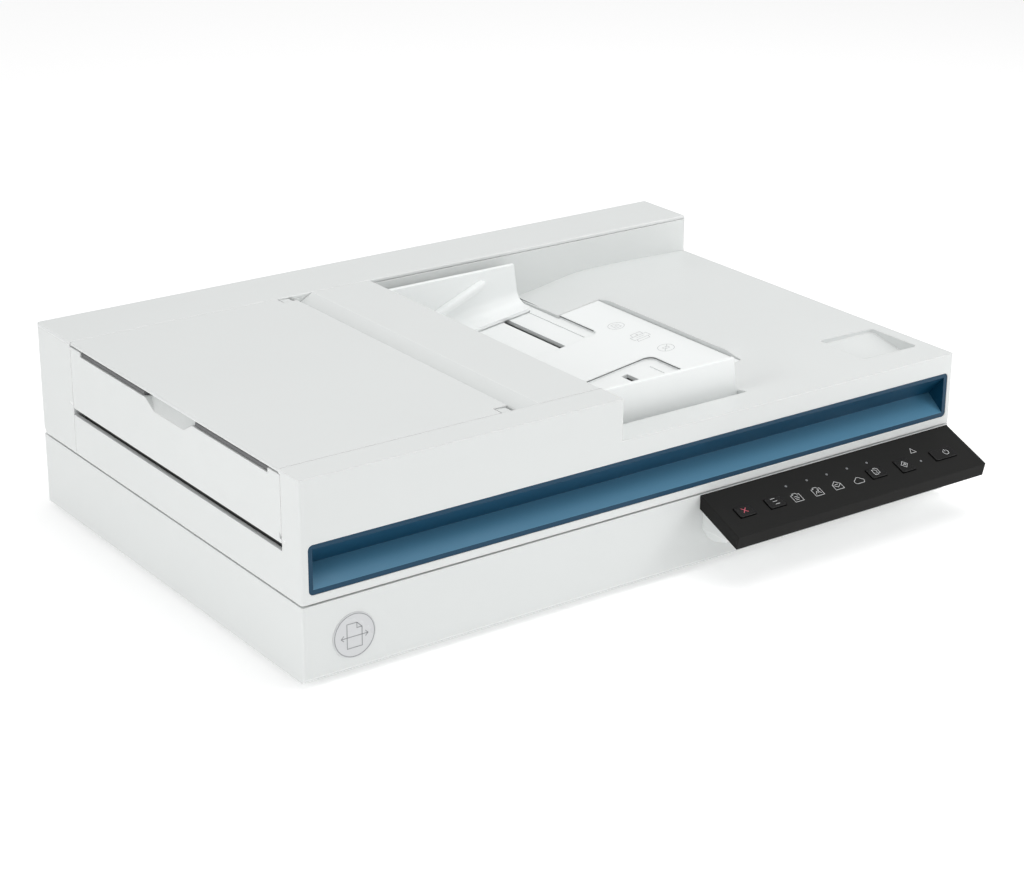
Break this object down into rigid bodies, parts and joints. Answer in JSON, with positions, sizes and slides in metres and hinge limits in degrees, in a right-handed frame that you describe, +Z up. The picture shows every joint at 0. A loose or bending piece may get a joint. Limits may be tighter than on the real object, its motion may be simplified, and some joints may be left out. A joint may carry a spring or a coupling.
{
  "type": "flatbed document scanner",
  "caption": "Flatbed document scanner whose hinged lid carries a sheet feeder with sliding guides, an opening cover, an exit door and a sloping key panel.",
  "frame": {"origin": "on the surface that the feet stand on, under the middle of the whole object", "axes": "+X to the right of someone facing the control panel, +Y from the front towards the rear, +Z up"},
  "size_m": [0.46, 0.3364, 0.1175],
  "materials": {
    "case_white": "fine satin texture",
    "bezel_grey": "fine satin texture",
    "grip_blue": "satin",
    "panel_black": "smooth satin",
    "key_black": "satin",
    "light_lens": "clear",
    "badge_silver": "satin",
    "clear_glass": "polished",
    "foot_rubber": "matte",
    "roller_rubber": "ground matte",
    "belt_rubber": "matte",
    "steel": "turned",
    "motor_steel": "plated",
    "gear_plastic": "moulded",
    "dark_plastic": "moulded",
    "sensor_black": "moulded",
    "board_green": "lacquered",
    "socket_black": "moulded",
    "socket_metal": "plated",
    "pad_white": "smooth film on foam"
  },
  "bodies": {
    "base": {"base_shell": "case_white", "base_bezel": "bezel_grey", "platen_glass": "clear_glass", "feeder_scan_glass": "clear_glass", "rubber_feet": "foot_rubber", "base_screws": "steel", "carriage_rod": "steel", "carriage_belt": "belt_rubber", "carriage_motor": "motor_steel", "main_board": "board_green", "usb_socket": "socket_metal", "power_socket": "socket_black", "panel_cover": "panel_black", "panel_underside": "panel_black", "panel_bracket": "case_white", "panel_board": "board_green", "status_lights": "light_lens", "front_badge": "badge_silver"},
    "carriage": {"sensor_carriage": "dark_plastic", "contact_image_sensor": "sensor_black"},
    "drive_pulley": {"drive_pulley": "gear_plastic"},
    "idler_pulley": {"idler_pulley": "gear_plastic"},
    "cancel_key": {"cancel_key": "key_black"},
    "job_key": {"job_key": "key_black"},
    "duplex_key": {"duplex_key": "key_black"},
    "start_key": {"start_key": "key_black"},
    "power_key": {"power_key": "key_black"},
    "hinge_posts": {"left_hinge_post": "steel", "right_hinge_post": "steel"},
    "lid": {"lid_shell": "case_white", "lid_base_plate": "bezel_grey", "rear_housing": "case_white", "rear_cap": "case_white", "input_tray": "case_white", "grip_inset": "grip_blue", "backing_pad": "pad_white", "lid_hinge_pins": "steel", "feeder_frame": "dark_plastic", "lower_paper_guide": "dark_plastic", "upper_paper_guide": "dark_plastic", "second_side_sensor": "sensor_black", "feeder_belt": "belt_rubber", "feeder_motor": "motor_steel", "motor_bracket": "steel"},
    "feeder_cover": {"feeder_cover": "case_white"},
    "cover_latch": {"cover_latch": "case_white"},
    "exit_door": {"exit_door": "case_white"},
    "back_guide": {"back_guide": "case_white"},
    "front_guide": {"front_guide": "case_white"},
    "guide_pinion": {"guide_pinion": "gear_plastic"},
    "feed_axle": {"feed_shaft": "steel", "feed_roller": "roller_rubber"},
    "scan_axle": {"scan_shaft": "steel", "scan_rollers": "roller_rubber"},
    "exit_axle": {"exit_shaft": "steel", "exit_rollers": "roller_rubber"},
    "motor_rotor": {"motor_pinion": "gear_plastic"},
    "pick_arm": {"pick_arm": "dark_plastic"},
    "pick_roller": {"pick_roller": "roller_rubber"},
    "separation_roller": {"separation_roller": "roller_rubber"}
  },
  "joints": [
    {"name": "carriage_slide", "type": "slide", "parent": "base", "child": "carriage", "axis": [1, 0, 0], "range_m": [0, 0.32]},
    {"name": "drive_pulley_spin", "type": "hinge", "parent": "base", "child": "drive_pulley", "pos_m": [-0.208, 0.03125, 0.0149], "axis": [0, 0, 1], "range_deg": [0, 2700]},
    {"name": "idler_pulley_spin", "type": "hinge", "parent": "base", "child": "idler_pulley", "pos_m": [0.208, 0.03125, 0.0149], "axis": [0, 0, 1], "range_deg": [0, 2700]},
    {"name": "cancel_key_press", "type": "slide", "parent": "base", "child": "cancel_key", "axis": [0, 0.376, -0.9266], "range_m": [0, 0.0008], "stiffness_N_per_m": 600, "springref_m": -0.0003},
    {"name": "job_key_press", "type": "slide", "parent": "base", "child": "job_key", "axis": [0, 0.376, -0.9266], "range_m": [0, 0.0008], "stiffness_N_per_m": 600, "springref_m": -0.0003},
    {"name": "duplex_key_press", "type": "slide", "parent": "base", "child": "duplex_key", "axis": [0, 0.376, -0.9266], "range_m": [0, 0.0008], "stiffness_N_per_m": 600, "springref_m": -0.0003},
    {"name": "start_key_press", "type": "slide", "parent": "base", "child": "start_key", "axis": [0, 0.376, -0.9266], "range_m": [0, 0.0008], "stiffness_N_per_m": 600, "springref_m": -0.0003},
    {"name": "power_key_press", "type": "slide", "parent": "base", "child": "power_key", "axis": [0, 0.376, -0.9266], "range_m": [0, 0.0008], "stiffness_N_per_m": 600, "springref_m": -0.0003},
    {"name": "lid_lift", "type": "slide", "parent": "base", "child": "hinge_posts", "axis": [0, 0, 1], "range_m": [0, 0.012]},
    {"name": "lid_hinge", "type": "hinge", "parent": "hinge_posts", "child": "lid", "pos_m": [0, 0.16225, 0.054], "axis": [-1, 0, 0], "range_deg": [0, 70]},
    {"name": "cover_hinge", "type": "hinge", "parent": "lid", "child": "feeder_cover", "pos_m": [-0.2285, 0.00525, 0.1163], "axis": [0, -1, 0], "range_deg": [0, 75]},
    {"name": "latch_rock", "type": "hinge", "parent": "feeder_cover", "child": "cover_latch", "pos_m": [-0.0865, 0.00525, 0.111], "axis": [0, 1, 0], "range_deg": [0, 8], "stiffness_Nm_per_rad": 0.05, "springref_deg": -5.73},
    {"name": "door_hinge", "type": "hinge", "parent": "lid", "child": "exit_door", "pos_m": [-0.2286, 0.00525, 0.0784], "axis": [0, -1, 0], "range_deg": [0, 95]},
    {"name": "back_guide_slide", "type": "slide", "parent": "lid", "child": "back_guide", "axis": [0, -1, 0], "range_m": [0, 0.058]},
    {"name": "front_guide_slide", "type": "slide", "parent": "lid", "child": "front_guide", "axis": [0, 1, 0], "range_m": [0, 0.058]},
    {"name": "guide_pinion_spin", "type": "hinge", "parent": "lid", "child": "guide_pinion", "pos_m": [0.04344, 0.00525, 0.07257], "axis": [-0.1392, 0, 0.9903], "range_deg": [-372, 0]},
    {"name": "feed_spin", "type": "hinge", "parent": "lid", "child": "feed_axle", "pos_m": [-0.07, 0.00525, 0.0753], "axis": [0, 1, 0], "continuous": true},
    {"name": "scan_spin", "type": "hinge", "parent": "lid", "child": "scan_axle", "pos_m": [-0.092, 0.00525, 0.063], "axis": [0, 1, 0], "continuous": true},
    {"name": "exit_spin", "type": "hinge", "parent": "lid", "child": "exit_axle", "pos_m": [-0.214, 0.00525, 0.0832], "axis": [0, 1, 0], "continuous": true},
    {"name": "motor_spin", "type": "hinge", "parent": "lid", "child": "motor_rotor", "pos_m": [-0.08642, 0.13625, 0.07885], "axis": [0, 1, 0], "continuous": true},
    {"name": "pick_lift", "type": "hinge", "parent": "lid", "child": "pick_arm", "pos_m": [-0.07, 0.00525, 0.0753], "axis": [0, -1, 0], "range_deg": [0, 12]},
    {"name": "pick_spin", "type": "hinge", "parent": "pick_arm", "child": "pick_roller", "pos_m": [-0.044, 0.00525, 0.0777], "axis": [0, 1, 0], "continuous": true},
    {"name": "separation_spin", "type": "hinge", "parent": "lid", "child": "separation_roller", "pos_m": [-0.07, 0.00525, 0.0578], "axis": [0, 1, 0], "continuous": true}
  ],
  "couplings": [
    {"joint": "drive_pulley_spin", "follows": "carriage_slide", "rad_per_m": 144.93},
    {"joint": "idler_pulley_spin", "follows": "carriage_slide", "rad_per_m": 144.93},
    {"joint": "front_guide_slide", "follows": "back_guide_slide", "ratio": 1},
    {"joint": "guide_pinion_spin", "follows": "back_guide_slide", "rad_per_m": -111.11},
    {"joint": "scan_spin", "follows": "feed_spin", "ratio": 1},
    {"joint": "exit_spin", "follows": "feed_spin", "ratio": 1},
    {"joint": "pick_spin", "follows": "feed_spin", "ratio": 1},
    {"joint": "motor_spin", "follows": "feed_spin", "ratio": -2}
  ]
}
